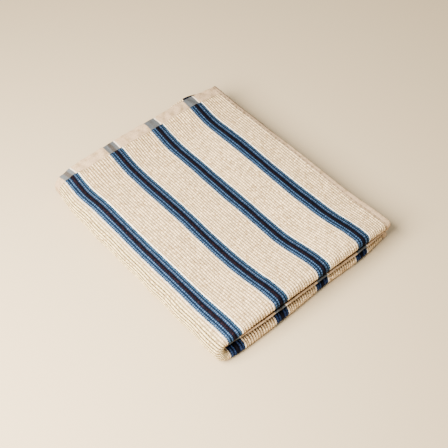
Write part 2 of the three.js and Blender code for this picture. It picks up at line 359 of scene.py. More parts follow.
class TowelColourSettings(PropertyGroup):
    """Yarn colours of the towel"""

    ground: FloatVectorProperty(
        name="Ground", description="Cream yarn of the ribs", subtype="COLOR",
        default=linear(240, 212, 169))
    # Painted shade between the cream's ribs and loops; also the random dark flecks and the hems'
    # darker patches
    ground_shade: FloatVectorProperty(
        name="Ground in the valleys", description="Cream yarn between the ribs", subtype="COLOR",
        default=linear(148, 124, 90))
    # Painted light: a lighter, warmer copy of the ground for the bend, which faces the light
    bend: FloatVectorProperty(
        name="Ground on the bend", description="Cream yarn round the lengthwise fold",
        subtype="COLOR", default=linear(252, 228, 172))
    # Painted shade in the valleys between the ribs on the bend
    bend_valley_painted_shade: FloatVectorProperty(
        name="Ground in the bend's valleys", description="Cream yarn between the ribs there",
        subtype="COLOR", default=linear(80, 64, 36))
    stripe_edge: FloatVectorProperty(
        name="Beside the stripes", description="Whiter yarn of the rib beside a stripe",
        subtype="COLOR", default=linear(244, 240, 230))
    hem: FloatVectorProperty(
        name="Hem", description="Cream of the flat-woven hems", subtype="COLOR",
        default=linear(191, 163, 130))
    # Also the colour of the painted shadow along the side hems' outer edge
    stitch: FloatVectorProperty(
        name="Stitches", description="Thread and holes along the side hems",
        subtype="COLOR", default=linear(104, 88, 72))
    sky_blue: FloatVectorProperty(
        name="Sky blue", description="Light blue yarn of the stripes", subtype="COLOR",
        default=linear(70, 97, 131))
    dusky_blue: FloatVectorProperty(
        name="Dusky blue", description="Greyer blue yarn past the stripe's core",
        subtype="COLOR", default=linear(72, 91, 119))
    sea_blue: FloatVectorProperty(
        name="Sea blue", description="Deeper blue yarn of the stripe's far side",
        subtype="COLOR", default=linear(58, 86, 112))
    # Painted shade: darker blues for the valleys between the stripe's ribs and the gaps between its
    # loops
    navy_valley_shade: FloatVectorProperty(
        name="Navy", description="Valleys of the stripe's near side",
        subtype="COLOR", default=linear(15, 30, 50))
    deep_blue_valley_shade: FloatVectorProperty(
        name="Deep blue", description="Valleys of the stripe's far side",
        subtype="COLOR", default=linear(17, 34, 54))
    black: FloatVectorProperty(
        name="Black", description="Black yarn of the stripe's core", subtype="COLOR",
        default=linear(13, 12, 20))
    brown: FloatVectorProperty(
        name="Brown", description="Brown fibre in the stripe's core", subtype="COLOR",
        default=linear(35, 21, 26))
    # Painted shade: darker blue for the stripes on the lower half, seen on the shaded roll at the
    # front
    lower_half_shade_blue: FloatVectorProperty(
        name="Blue of the lower half", description="Darker blue of the stripes underneath",
        subtype="COLOR", default=linear(20, 30, 66))
    # Painted shade deep in the folds at the front and on the inner end hem
    fold_painted_shade: FloatVectorProperty(
        name="Shade in the folds", description="Yarn deep in the folds at the front",
        subtype="COLOR", default=linear(130, 112, 92))
    hem_grey: FloatVectorProperty(
        name="Grey of the hem", description="The stripe's blue in the end hem",
        subtype="COLOR", default=linear(94, 98, 101))
    hem_taupe: FloatVectorProperty(
        name="Taupe of the hem", description="The stripe's core in the end hem",
        subtype="COLOR", default=linear(76, 71, 67))


class TowelStageSettings(PropertyGroup):
    """Floor, lights and camera"""

    floor_size: FloatProperty(
        name="Floor size", description="Side of the square floor", default=6.0, unit="LENGTH")
    floor_colour: FloatVectorProperty(
        name="Floor", description="Colour of the floor", subtype="COLOR",
        default=linear(199, 181, 149))
    key_power: FloatProperty(
        name="Key light", description="Power of the soft light in watts", default=41.0)
    key_size: FloatProperty(
        name="Key light size", description="Side of the soft light",
        default=0.6, unit="LENGTH")
    key_place: FloatVectorProperty(
        name="Key light place", description="Where the soft light stands",
        subtype="TRANSLATION", default=(-0.56, -0.03, 0.58))
    key_colour: FloatVectorProperty(
        name="Key light colour", description="Colour of the soft light", subtype="COLOR",
        default=linear(255, 247, 235))
    fill_strength: FloatProperty(
        name="Fill", description="Strength of the even light from all around", default=0.75)
    fill_colour: FloatVectorProperty(
        name="Fill colour", description="Colour of the even light", subtype="COLOR",
        default=linear(255, 250, 242))
    camera_place: FloatVectorProperty(
        name="Camera place", description="Where the camera stands", subtype="TRANSLATION",
        default=(-419.7 * MM, -541.4 * MM, 793.7 * MM))
    camera_aim: FloatVectorProperty(
        name="Camera aim", description="The point that the camera looks at",
        subtype="TRANSLATION", default=(-13.0 * MM, -29.2 * MM, 27.5 * MM))
    camera_roll: FloatProperty(
        name="Camera roll", description="Turn of the camera about its line of sight",
        default=math.radians(-2.3), unit="ROTATION")
    lens: FloatProperty(name="Lens", description="Focal length in millimetres", default=50.0)
    sensor: FloatProperty(
        name="Sensor", description="Width of the picture in millimetres", default=24.0)


def mix(first, second, share):
    return first + (second - first) * share


def swell(distance, length):
    """0 before a swelling starts and 1 where it ends, level at both."""
    share = np.clip(distance / length, 0, 1)
    return 0.5 - 0.5 * np.cos(np.pi * share)


def along(table, place, read):
    """A smooth curve through the rows of a table, each under its place."""
    at = np.array(list(table), float)
    values = np.array([read(row) for row in table.values()], float)
    slopes = np.zeros(len(table))
    slopes[1:-1] = (values[2:] - values[:-2]) / (at[2:] - at[:-2])
    place = np.clip(place, at[0], at[-1])
    i = np.clip(np.searchsorted(at, place) - 1, 0, len(table) - 2)
    span = at[i + 1] - at[i]
    t = (place - at[i]) / span
    leave = t * (1 - t) ** 2 * span * slopes[i]
    arrive = t * t * (1 - t) * span * slopes[i + 1]
    return mix(values[i], values[i + 1], t * t * (3 - 2 * t)) + leave - arrive


class FoldedCloth:
    """Places on the folded cloth, in millimetres. u is the place across the width, with 0 at the
    lengthwise fold, and q the place along the folded path: 0 to 1 is the outer panel, 1 to 2 the
    front fold, 2 to 3 the middle panel, 3 to 4 the back fold and 4 to 5 the inner panel."""

    def __init__(self, sizes):
        for name in ("thickness", "rib_depth", "end_hem_length", "end_hem_thickness",
                     "side_hem_thickness", "side_hem_edge"):
            setattr(self, name, getattr(sizes, name) / MM)
        self.half_width = sizes.width / MM / 2
        self.rib_pitch = sizes.stripe_spacing / MM / RIBS_PER_SPACING
        self.ribbed_half = RIBS_PER_HALF * self.rib_pitch
        folds_and_reach = 2 * math.pi * FOLD_RADIUS + 2 * HEM_REACH
        self.panel = (sizes.length / MM - folds_and_reach) / 3
        self.end_panel = self.panel + HEM_REACH
        self.line = self.panel / 2
        self.fold_x = -(self.half_width - BEND_HALF - BEND_RADIUS) / 2
        self.first_stripe_x = self.fold_x + sizes.stripe_spacing / MM / 2 - BEND_HALF

    def layer_heights(self, x, y):
        """Heights of the middles of the six layers, the lowest first."""
        place = x - self.first_stripe_x
        front = swell(FRONT_SWELL - self.line - y, FRONT_SWELL)
        back = swell(y - (self.line + BACK_SWELL_PAST - BACK_SWELL), BACK_SWELL)
        heights = [np.full_like(x, self.thickness / 2)]
        for k in range(LAYER_COUNT - 1):
            across = np.sin(2 * np.pi * x / WAVE_LENGTH_X + WAVE_PHASE_X * k)
            lengthwise = np.cos(2 * np.pi * y / WAVE_LENGTH_Y + WAVE_PHASE_Y * k)
            wave = WAVE_HEIGHT * across * lengthwise * (1 - front) * (1 - back)
            at_front = along(FRONT_GAPS, place, lambda gaps: gaps[k]) - LAYER_PITCH
            at_back = along(BACK_GAPS, place, lambda gaps: gaps[k]) - LAYER_PITCH
            gap = LAYER_PITCH + wave + at_front * front + at_back * back
            heights.append(heights[-1] + gap)
        return heights

    def path(self, q):
        """Level in the stack, share of the way to the next level, Y and how far a fold bulges."""
        part = min(int(q), PATH_END - 1)
        t = q - part
        turned = (1 - math.cos(math.pi * t)) / 2
        bulge = math.sin(math.pi * t)
        if part == 0:
            return 0, 0, mix(self.line + HEM_REACH, -self.line, t), 0
        if part == 1:
            return 0, turned, -self.line, -bulge
        if part == 2:
            return 1, 0, mix(-self.line, self.line, t), 0
        if part == 3:
            return 1, turned, self.line, bulge
        return 2, 0, mix(self.line, -self.line - HEM_REACH, t), 0

    def path_length(self, q):
        """Distance along the cloth from its outer end."""
        fold = math.pi * FOLD_RADIUS
        lengths = [self.end_panel, fold, self.panel, fold, self.end_panel]
        part = min(int(q), PATH_END - 1)
        return sum(lengths[:part]) + (q - part) * lengths[part]

    def edge_shift(self, x, y, upper_share, panel):
        """How far a panel's edges are out of line, fading to nothing in its middle."""
        place = x - self.first_stripe_x
        front_kind = "hem" if panel == 2 else "fold"
        back_kind = "hem" if panel == 0 else "fold"

        def shift(table, kind):
            lower = along(table, place, lambda row: row[kind][0])
            upper = along(table, place, lambda row: row[kind][1])
            return mix(lower, upper, upper_share)

        front = shift(FRONT_EDGE, front_kind) * swell(-y, self.line)
        return shift(BACK_EDGE, back_kind) * swell(y, self.line) - front

    def middle(self, u, q):
        """Points of the cloth's middle surface."""
        level, blend, even_y, out = self.path(q)
        half = np.where(u >= 0, 1, -1)
        reach = np.abs(u)
        turn = np.minimum(reach / BEND_HALF, 1) * np.pi / 2
        upper_share = (1 + half * np.sin(turn)) / 2
        flat_x = self.fold_x + np.maximum(reach - BEND_HALF, 0)
        next_level = min(level + 1, 2)
        y = even_y + self.edge_shift(flat_x, even_y, upper_share, level if out == 0 else 1)
        heights = self.layer_heights(flat_x, y)
        top = LAYER_COUNT - 1

        def height_and_depth(here, there):
            depth = np.abs(heights[here] - heights[there]) / 2
            return mix(heights[here], heights[there], blend), depth

        upper, upper_depth = height_and_depth(top - level, top - next_level)
        lower, lower_depth = height_and_depth(level, next_level)
        radius = (upper - lower) / 2
        bump = BUMP_DEPTH * np.sin(2 * np.pi * y / BUMP_LENGTH)
        near_fold = 1 - swell(reach - BEND_HALF, LENGTHWISE_SPREAD)
        fold_out = along(LENGTHWISE_EDGE, y, lambda out: out) * near_fold
        side_place = np.maximum(reach - BEND_HALF, 0) / (self.half_width - BEND_HALF)
        shift = mix(SIDE_SHIFT[level], SIDE_SHIFT[next_level], blend) * side_place ** 2
        drift = DRIFT_WIDTH * np.sin(2 * np.pi * y / DRIFT_LENGTH + level) * side_place
        x = flat_x - (radius + bump) * np.cos(turn) - fold_out + shift + drift
        z = (upper + lower) / 2 + half * radius * np.sin(turn)
        y = y + out * mix(lower_depth, upper_depth, upper_share)
        return np.stack([x, y, z], axis=-1)

    def face_direction(self, u, q):
        """Unit vectors out of the cloth's face."""
        step_u = 0.02
        step_q = 0.002
        later = self.middle(u, min(q + step_q, PATH_END))
        lengthwise = later - self.middle(u, max(q - step_q, 0))
        right = self.middle(np.minimum(u + step_u, self.half_width), q)
        across = right - self.middle(np.maximum(u - step_u, -self.half_width), q)
        normal = np.cross(lengthwise, across)
        return normal / np.linalg.norm(normal, axis=-1, keepdims=True)

    def distance_from_end(self, q):
        return min(q, PATH_END - q) * self.end_panel

    def slip(self, u, q):
        """How far the cloth is drawn across towards the lengthwise fold, or away if negative."""
        if q >= 1:
            on_fold = 1 - swell(abs(q - BACK_SLIP_MIDDLE), BACK_SLIP_SPREAD)
            before_side = 1 - swell(u - BACK_SLIP_END, self.half_width - BACK_SLIP_END)
            return -BACK_SLIP * on_fold * swell(u - BACK_SLIP_START, BACK_SLIP_WIDTH) * before_side
        from_end = q * self.end_panel
        near_fold = swell(u + BEND_HALF, 2 * BEND_HALF) * (1 - swell(u - SLIP_START, SLIP_WIDTH))
        broad = SLIP * (1 - swell(from_end, SLIP_REACH))
        return near_fold * (broad + HEM_SLIP * (1 - swell(from_end, HEM_SLIP_REACH)))

    def rib_place(self, u):
        """Place across the width in ribs, where whole numbers are valleys."""
        even = np.abs(u) / self.rib_pitch
        in_stripe = even % RIBS_PER_SPACING - FIRST_STRIPE_RIB
        numbers = np.arange(len(STRIPE_VALLEYS)) + FIRST_VALLEY
        inside = (in_stripe > STRIPE_VALLEYS[0]) & (in_stripe < STRIPE_VALLEYS[-1])
        shift = np.interp(in_stripe, STRIPE_VALLEYS, numbers) - in_stripe
        return even + np.where(inside, shift, 0)

    def stand_off(self, u, q, relief):
        """How far a side of the cloth stands off its middle surface. relief is 0 for a plain
        side and 1 for raised ribs."""
        from_end = self.distance_from_end(q)
        ribbed = swell(from_end - self.end_hem_length, HEM_STEP_LENGTH)
        half = mix(self.end_hem_thickness, self.thickness, ribbed) / 2
        half *= math.sqrt(1 - max(0, 1 - from_end / END_ROUND) ** 2 * END_THINNING)
        crest = np.abs(np.sin(np.pi * self.rib_place(u))) ** RIB_SHARPNESS
        ribs = half - self.rib_depth * (1 - crest) * relief * ribbed
        into_hem = np.abs(u) - self.ribbed_half
        width = self.half_width - self.ribbed_half
        round_edge = np.sqrt(np.clip(1 - (2 * into_hem / width - 1) ** 2, 0, 1))
        groove = STITCH_GROOVE * np.exp(-((into_hem - STITCH_PLACE) / STITCH_GROOVE_WIDTH) ** 2)
        side = mix(self.side_hem_edge, self.side_hem_thickness, round_edge) / 2 - groove
        return np.where(into_hem > -TOLERANCE, np.minimum(half, side), ribs)


def wander(points, length, draw):
    """Smooth noise between about -1 and 1 at flat places (across, along) of the cloth."""
    return np.array([
        noise.noise(Vector((across / length, distance / length, draw)))
        for across, distance in points
    ])


class ClothMesh:
    """Collects rows of points and the triangles that join them."""

    def __init__(self, cloth):
        self.cloth = cloth
        self.points = []
        self.places = []
        self.raised = []
        self.triangles = []

    def add_row(self, row, is_face):
        """Adds a row of points and gives their places across the width and their numbers."""
        cloth = self.cloth
        u = np.array(row["columns"])
        q = row["q"]
        distance = cloth.path_length(q)
        flat = [(value, distance) for value in u]
        relief = np.where(u >= row["ribs_from"] - TOLERANCE, 1.0, 0.0)
        from_end = cloth.distance_from_end(q)
        inside = np.clip((cloth.half_width - np.abs(u)) / RIB_WANDER_FADE, 0, 1)
        end = min(from_end / RIB_WANDER_FADE, 1)
        aside = RIB_WANDER * wander(flat, RIB_WANDER_LENGTH, RIB_WANDER_DRAW)
        shifted = u + aside * inside * end
        shifted -= cloth.slip(u, q)
        off = cloth.stand_off(u, q, relief)
        in_hem = 1 - swell(from_end - cloth.end_hem_length, HEM_PUCKER_FADE)
        lump_draw = FACE_LUMP_DRAW if is_face else BACK_LUMP_DRAW
        lumps = SURFACE_LUMPS * wander(flat, SURFACE_LUMP_LENGTH, lump_draw)
        pucker = HEM_PUCKER * wander(flat, HEM_PUCKER_LENGTH, HEM_PUCKER_DRAW) * in_hem
        normal = cloth.face_direction(u, q)
        side = 1 if is_face else -1
        place = cloth.middle(shifted, q) + normal * (off * side + lumps * side + pucker)[:, None]
        place[:, 2] = np.maximum(place[:, 2], 0)
        first = len(self.points)
        self.points.extend(place)
        self.places.extend(flat)
        self.raised.extend(relief)
        return [(u[k], first + k) for k in range(len(u))]

    def join(self, first, second, flip=False):
        """Joins two runs of points, whatever number each has."""
        i = 0
        j = 0
        while i < len(first) - 1 or j < len(second) - 1:
            first_next = first[i + 1][0] if i < len(first) - 1 else math.inf
            second_next = second[j + 1][0] if j < len(second) - 1 else math.inf
            take_first = first_next <= second_next
            corner = first[i + 1][1] if take_first else second[j + 1][1]
            triangle = (first[i][1], second[j][1], corner)
            self.triangles.append(triangle[::-1] if flip else triangle)
            if take_first:
                i += 1
            else:
                j += 1


def spread(start, end, count):
    return list(np.linspace(start, end, count + 1))


def build_cloth_mesh(settings):
    """The whole cloth as one closed mesh, fine only where it shows."""
    cloth = FoldedCloth(settings)
    pitch = cloth.rib_pitch
    steps = settings.steps_per_rib

    # Places across the width. The upper half has its ribs on the top, the folds have them all.
    hem = [mix(cloth.ribbed_half, cloth.half_width, share) for share in SIDE_HEM_SHARES]
    bend = spread(0, BEND_HALF, BEND_COLUMNS)
    flat = spread(BEND_HALF, cloth.ribbed_half, PLAIN_COLUMNS)
    plain_half = bend[:-1] + flat[:-1] + hem
    plain = [-u for u in reversed(plain_half)] + plain_half[1:]
    top_start = LOWEST_TOP_RIB * pitch
    upper = spread(top_start, cloth.ribbed_half, (RIBS_PER_HALF - LOWEST_TOP_RIB) * steps)
    upper = [u for u in plain if u < top_start - pitch / 2] + upper + hem[1:]
    whole = spread(-cloth.ribbed_half, cloth.ribbed_half, 2 * RIBS_PER_HALF * steps)
    whole = [-u for u in reversed(hem[1:])] + whole + hem[1:]

    def rows(places, columns, ribs_from):
        return [{"q": q, "columns": columns, "ribs_from": ribs_from} for q in places]

    # Places along the path. The hems have steps of their own at their rolled ends.
    roll = [share * END_ROUND / cloth.end_panel for share in HEM_END_SHARES]
    hem_end = cloth.end_hem_length / cloth.end_panel
    hem_steps = roll + spread(roll[-1], hem_end, END_HEM_ROWS)[1:]
    step_end = (cloth.end_hem_length + HEM_STEP_LENGTH) / cloth.end_panel
    top_steps = spread(hem_end, step_end, HEM_STEP_ROWS)[1:]
    top_steps += spread(step_end, 1, TOP_ROWS)[1:-1]
    hidden_steps = spread(step_end, 1, HIDDEN_ROWS)[:-1]
    front_fold = spread(1, 2, FOLD_ROWS)
    middle = spread(2, 3, HIDDEN_ROWS)
    back_fold = spread(3, 4, FOLD_ROWS)
    inner = [PATH_END - q for q in reversed(hem_steps + hidden_steps)]

    # Raised ribs, from a place across the width on: on the top and on the folds that show
    nowhere = math.inf
    everywhere = -math.inf
    face = rows(hem_steps, upper, nowhere)
    face += rows(top_steps, upper, top_start)
    face += rows(front_fold, whole, everywhere)
    face += rows(middle[1:] + back_fold[1:] + inner, plain, nowhere)
    back = rows(hem_steps + top_steps + front_fold + middle[1:-1], plain, nowhere)
    back += rows(back_fold, whole, everywhere)
    back += rows(inner, plain, nowhere)

    made = ClothMesh(cloth)
    face_runs = [made.add_row(one, True) for one in face]
    back_runs = [made.add_row(one, False) for one in back]
    for k in range(len(face) - 1):
        made.join(face_runs[k], face_runs[k + 1])
        made.join(back_runs[k], back_runs[k + 1], flip=True)

    # The four sides of the cloth
    made.join(face_runs[0], back_runs[0], flip=True)
    made.join(face_runs[-1], back_runs[-1])

    def side_run(runs, end):
        return [(k, run[end][1]) for k, run in enumerate(runs)]

    made.join(side_run(face_runs, 0), side_run(back_runs, 0))
    made.join(side_run(face_runs, -1), side_run(back_runs, -1), flip=True)
    return made


def add_object(name, data):
    """Makes an object of a mesh, light or camera and puts it in the scene."""
    made = bpy.data.objects.new(name, data)
    bpy.context.scene.collection.objects.link(made)
    return made


def make_cloth_object(made, name):
    """Turns the collected points, millimetres, into an object in metres that stands where the
    solid stands, with its flat places as a UV map."""
    points = np.array(made.points)
    low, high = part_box("towel")
    middle = (points.min(axis=0) + points.max(axis=0)) / 2
    points[:, 0] += (low.x + high.x) / 2 / MM - middle[0]
    points[:, 1] += low.y / MM - points[:, 1].min()
    mesh = bpy.data.meshes.new(name)
    mesh.from_pydata((points * MM).tolist(), [], made.triangles)
    mesh.shade_smooth()
    corners = np.empty(len(mesh.loops), dtype=np.int32)
    mesh.loops.foreach_get("vertex_index", corners)
    flat_places = np.array(made.places) * MM
    layer = mesh.uv_layers.new(name=FLAT_MAP)
    layer.uv.foreach_set("vector", flat_places[corners].astype(np.float32).ravel())
    raised = mesh.attributes.new(RAISED, "FLOAT", "POINT")
    raised.data.foreach_set("value", np.array(made.raised, dtype=np.float32))
    return add_object(name, mesh)


def maths_method(operation, reflected=False):
    """An operator of Value, which adds one Math node."""
    def method(self, other=0):
        pair = (other, self) if reflected else (self, other)
        return self.finish.maths(operation, *pair)

    return method


class Value:
    """A socket of a finish, which can be used in sums with numbers and other sockets."""

    def __init__(self, finish, socket):
        self.finish = finish
        self.socket = socket

    __add__ = maths_method("ADD")
    __radd__ = __add__
    __sub__ = maths_method("SUBTRACT")
    __rsub__ = maths_method("SUBTRACT", reflected=True)
    __mul__ = maths_method("MULTIPLY")
    __rmul__ = __mul__
    __truediv__ = maths_method("DIVIDE")
    __mod__ = maths_method("FLOORED_MODULO")
    __lt__ = maths_method("LESS_THAN")
    __gt__ = maths_method("GREATER_THAN")
    __abs__ = maths_method("ABSOLUTE")
    __floor__ = maths_method("FLOOR")


class Finish:
    """A material made of nodes."""

    def __init__(self, name):
        self.material = bpy.data.materials.new(name)
        self.material.use_nodes = True
        self.tree = self.material.node_tree
        self.tree.nodes.clear()

    def node(self, kind, settings=None, inputs=None, output=0):
        made = self.tree.nodes.new(kind)
        for name, value in (settings or {}).items():
            if name == "stops":
                self.set_stops(made.color_ramp, value)
            elif name == "interpolation":
                made.color_ramp.interpolation = value
            else:
                setattr(made, name, value)
        for name, value in (inputs or {}).items():
            if isinstance(value, Value):
                self.tree.links.new(value.socket, made.inputs[name])
            else:
                made.inputs[name].default_value = value
        return Value(self, made.outputs[output]) if made.outputs else None

    def set_stops(self, ramp, stops):
        """Sets a ramp's stops, each a place and a colour."""
        while len(ramp.elements) < len(stops):
            ramp.elements.new(1)
        for element, (place, colour) in zip(ramp.elements, stops):
            element.position = place
            element.color = paint(colour)

    def maths(self, operation, first, second=0):
        return self.node("ShaderNodeMath", {"operation": operation}, {0: first, 1: second})

    def smooth(self, value, start, end):
        """0 up to start and 1 from end on, smooth between them."""
        settings = {"interpolation_type": "SMOOTHSTEP"}
        return self.node("ShaderNodeMapRange", settings, {0: value, 1: start, 2: end})

    def between(self, value, start, end, soft):
        """1 between start and end, and 0 outside them."""
        return self.smooth(value, start - soft, start + soft) * (
            1 - self.smooth(value, end - soft, end + soft))

    def blend(self, share, first, second, kind="MIX"):
        """Colour: first where share is 0 and second where it is 1."""
        first, second = [
            colour if isinstance(colour, Value) else paint(colour) for colour in (first, second)]
        settings = {"data_type": "RGBA", "blend_type": kind}
        return self.node("ShaderNodeMix", settings, {0: share, 6: first, 7: second}, output=2)

    def tone(self, colour, value):
        """A colour made darker or lighter."""
        grey = self.node("ShaderNodeCombineColor", None, {0: value, 1: value, 2: value})
        return self.blend(1.0, colour, grey, kind="MULTIPLY")

    def bands(self, number, colours):
        """The colour of that number, counted from 0, with no blending between them."""
        stops = [(k / len(colours), colour) for k, colour in enumerate(colours)]
        settings = {"interpolation": "CONSTANT", "stops": stops}
        return self.node("ShaderNodeValToRGB", settings, {"Fac": (number + 0.5) / len(colours)})

    def stretch(self, value, places):
        """Sends places, evenly or unevenly spaced, to even steps, with straight runs between."""
        start = places[0]
        span = places[-1] - start
        last = len(places) - 1
        stops = [((place - start) / span, [k / last] * 3) for k, place in enumerate(places)]
        settings = {"interpolation": "LINEAR", "stops": stops}
        ramp = self.node("ShaderNodeValToRGB", settings, {"Fac": (value - start) / span})
        return self.node("ShaderNodeSeparateColor", None, {0: ramp}) * last + start

    def place(self, x, y=0.0, z=0.0):
        return self.node("ShaderNodeCombineXYZ", None, {0: x, 1: y, 2: z})

    def noise(self, place, detail=2.0, roughness=0.5):
        inputs = {"Vector": place, "Scale": 1.0, "Detail": detail, "Roughness": roughness}
        return self.node("ShaderNodeTexNoise", None, inputs, output="Fac")

    def chance(self, x, y):
        """A random number from 0 to 1 for each pair of whole numbers."""
        settings = {"noise_dimensions": "2D"}
        return self.node("ShaderNodeTexWhiteNoise", settings, {"Vector": self.place(x, y)})

    def cover(self, inputs):
        """Gives the material its shader, with these values and links."""
        shader = self.node("ShaderNodeBsdfPrincipled", None, inputs)
        self.node("ShaderNodeOutputMaterial", None, {"Surface": shader})


class RibbedCotton(Finish):
    """Cream ribbed cotton with blue and black stripes, and flat-woven hems."""

    def __init__(self, sizes, colours):
        super().__init__("ribbed_cotton")
        self.sizes = sizes
        self.colours = colours
        self.fold_start = FoldedCloth(sizes).end_panel * MM
        flat = self.node("ShaderNodeUVMap", {"uv_map": FLAT_MAP})
        self.across = self.node("ShaderNodeSeparateXYZ", None, {0: flat}, output="X")
        self.lengthwise = self.node("ShaderNodeSeparateXYZ", None, {0: flat}, output="Y")
        self.from_end = self.maths("MINIMUM", self.lengthwise, sizes.length - self.lengthwise)
        self.near_hem = 1 - self.smooth(self.from_end, sizes.end_hem_length, NEAR_HEM)
        self.find_ribs()
        self.find_loops()
        self.find_hems()
        yarn = self.weave_hems(self.weave_ribs())
        mottle = self.spots(MOTTLE, detail=3.0, roughness=MOTTLE_ROUGHNESS)
        grain = self.spots(GRAIN, detail=1.0, draw=GRAIN_DRAW)
        tone = (MOTTLE_DARKEST + mottle * MOTTLE_TONES) * (1 + (grain - 0.5) * GRAIN_DEPTH)
        height = {"Strength": 1.0, "Distance": MM, "Height": self.height()}
        self.cover({
            "Base Color": self.tone(yarn, tone),
            "Roughness": 0.95,
            "Specular IOR Level": 0.04,
            "Normal": self.node("ShaderNodeBump", None, height),
        })

    def spots(self, size, detail=2.0, roughness=0.5, draw=0.0):
        """Noise of one size over the flat cloth."""
        place = self.place(self.across / size, self.lengthwise / size, draw)
        return self.noise(place, detail, roughness)

    def find_ribs(self):
        """Finds the rib of each point, from the lengthwise fold out. Whole numbers are valleys,
        which waver a little along the cloth. The ribs of a stripe differ in width."""
        pitch = self.sizes.stripe_spacing / RIBS_PER_SPACING
        self.ribbed_half = RIBS_PER_HALF * pitch
        wobble = self.place(self.across / WOBBLE_ACROSS, self.lengthwise / WOBBLE_ALONG)
        self.push = self.noise(wobble, detail=0.0) - 0.5
        even_rib = abs(self.across) / pitch + self.push * EDGE_WOBBLE
        even_place = even_rib % RIBS_PER_SPACING - FIRST_STRIPE_RIB
        uneven = (even_place > STRIPE_VALLEYS[0]) * (even_place < STRIPE_VALLEYS[-1])
        shift = (self.stretch(even_place, STRIPE_VALLEYS) - even_place) * uneven
        self.in_stripe = even_place + shift
        self.core = abs(self.in_stripe - CORE_RIB - 0.5) < 0.5
        self.rib = even_rib + shift
        self.fading = 1 - self.smooth(self.rib, *FADING_RIBS) * FADING
        self.rib_number = math.floor(self.rib)
        self.valley = abs(self.rib - self.rib_number - 0.5) * 2

    def find_loops(self):
        """Finds the loop of yarn of each point along its rib. The loops are of uneven length."""
        thread = self.rib_number + (self.across > 0) * HALF_DRAW
        drift = self.noise(self.place(thread * RIB_DRAW, self.lengthwise / LOOP_DRIFT), detail=1.0)
        start = self.chance(thread, LOOP_START_DRAW) * LOOP_START_TURNS
        loop = self.lengthwise / LOOP_LENGTH + start + drift * LOOP_DRIFT_TURNS
        loop_number = math.floor(loop)
        self.loop_chance = self.chance(thread, loop_number)
        self.loop_gap = self.smooth(abs(loop - loop_number - 0.5) * 2, *LOOP_GAP)

    def find_hems(self):
        """Finds the end hems, less deep near the lengthwise fold, and the side hems, turned in
        deeper at the front, with the stitches at their inner edge."""
        shorter = (1 - self.smooth(self.rib, *HEM_SHORT_RIBS)) * HEM_SHORTENING
        depth = self.sizes.end_hem_length
        self.end_hem = 1 - self.smooth(
            self.from_end + shorter, depth - END_HEM_SOFT, depth + END_HEM_SOFT)
        self.inside_hems = abs(self.across) < self.ribbed_half
        self.into_side = abs(self.across) - self.ribbed_half
        at_front = self.smooth(self.lengthwise, CREASE_TURN, self.fold_start)
        crease = CREASE_BACK - at_front * CREASE_DEPTH
        self.side_hem = self.into_side > crease
        from_stitches = abs(self.into_side - crease - STITCH_OFFSET)
        self.stitch_line = 1 - self.smooth(from_stitches, *STITCH_LINE)
        stitch = self.lengthwise / STITCH_LENGTH + self.push * STITCH_WOBBLE
        self.stitch_hole = 1 - self.smooth(abs(stitch % 1 - 0.5), *STITCH_HOLE)

    def cream(self):
        """Cream yarn with painted shade between the ribs and the loops, and painted light on the
        bend.
        """
        colours = self.colours
        # Painted shade in the valleys between the ribs and in the gaps between the loops, deeper
        # near the end hems
        gap_share = CREAM_GAP + self.near_hem * CREAM_GAP_NEAR_HEM
        gap = self.smooth(self.valley, *CREAM_VALLEY) * gap_share + self.loop_gap * CREAM_LOOP_GAP
        cream = self.blend(gap, colours.ground, colours.ground_shade)
        # Painted light: the bend, which faces the light, is painted a lighter, warmer cream
        on_bend = 1 - self.smooth(self.rib, *BEND_RIBS)
        cream = self.blend(on_bend * BEND_SHARE, cream, colours.bend)
        # Painted shade in the bend's valleys and between its loops
        gap_share = BEND_GAP + self.loop_gap * BEND_LOOP_GAP
        gap = on_bend * self.smooth(self.valley, *BEND_VALLEY) * gap_share
        cream = self.blend(gap, cream, colours.bend_valley_painted_shade)
        cream = self.tone(cream, 1 + self.between(self.rib, *PALE_RIBS) * PALENESS)
        fleck = (self.loop_chance > FLECK_CHANCE) * FLECK_SHARE
        return self.blend(fleck, cream, colours.ground_shade)

    def stripe(self):
        """Blue yarn with a near-black core, and painted shade on the lower half and past the back
        fold.
        """
        colours = self.colours
        number = math.floor(self.in_stripe) - FIRST_VALLEY
        crest = self.bands(number, [
            colours.stripe_edge, colours.sky_blue, colours.sky_blue, colours.black,
            colours.dusky_blue, colours.sea_blue, colours.stripe_edge])
        # Painted shade: the valleys and the gaps between the loops take darker blues
        valley = self.bands(number, [
            colours.stripe_edge, colours.navy_valley_shade, colours.navy_valley_shade, colours.black,
            colours.deep_blue_valley_shade, colours.deep_blue_valley_shade, colours.stripe_edge])
        gap = self.smooth(self.valley, *STRIPE_VALLEY) + self.loop_gap * STRIPE_LOOP_GAP
        stripe = self.blend(gap, crest, valley)
        less_brown = self.smooth(self.rib, FIRST_STRIPE_RIB, RIBS_PER_HALF) * BROWN_FADING
        speckles = self.smooth(self.spots(SPECKLE), *BROWN_SPECKLES)
        stripe = self.blend(speckles * self.core * (1 - less_brown), stripe, colours.brown)
        stripe = self.tone(stripe, self.fading * (1 - self.near_hem * FADING_NEAR_HEM))
        # Painted shade: past the back fold the stripes are painted near black
        at_back = self.smooth(self.lengthwise, *BACK_FOLD)
        stripe = self.blend(at_back * BACK_SHADE, stripe, colours.black)
        # Painted shade: on the lower half the stripes are painted darker blue with a black core
        dyed = abs(self.in_stripe - STRIPE_RIBS / 2) < STRIPE_RIBS / 2
        lower_half = self.across < 0
        stripe = self.blend(lower_half * dyed * LOWER_HALF_SHADE_SHARE, stripe, colours.lower_half_shade_blue)
        return self.blend(lower_half * self.core, stripe, colours.black)

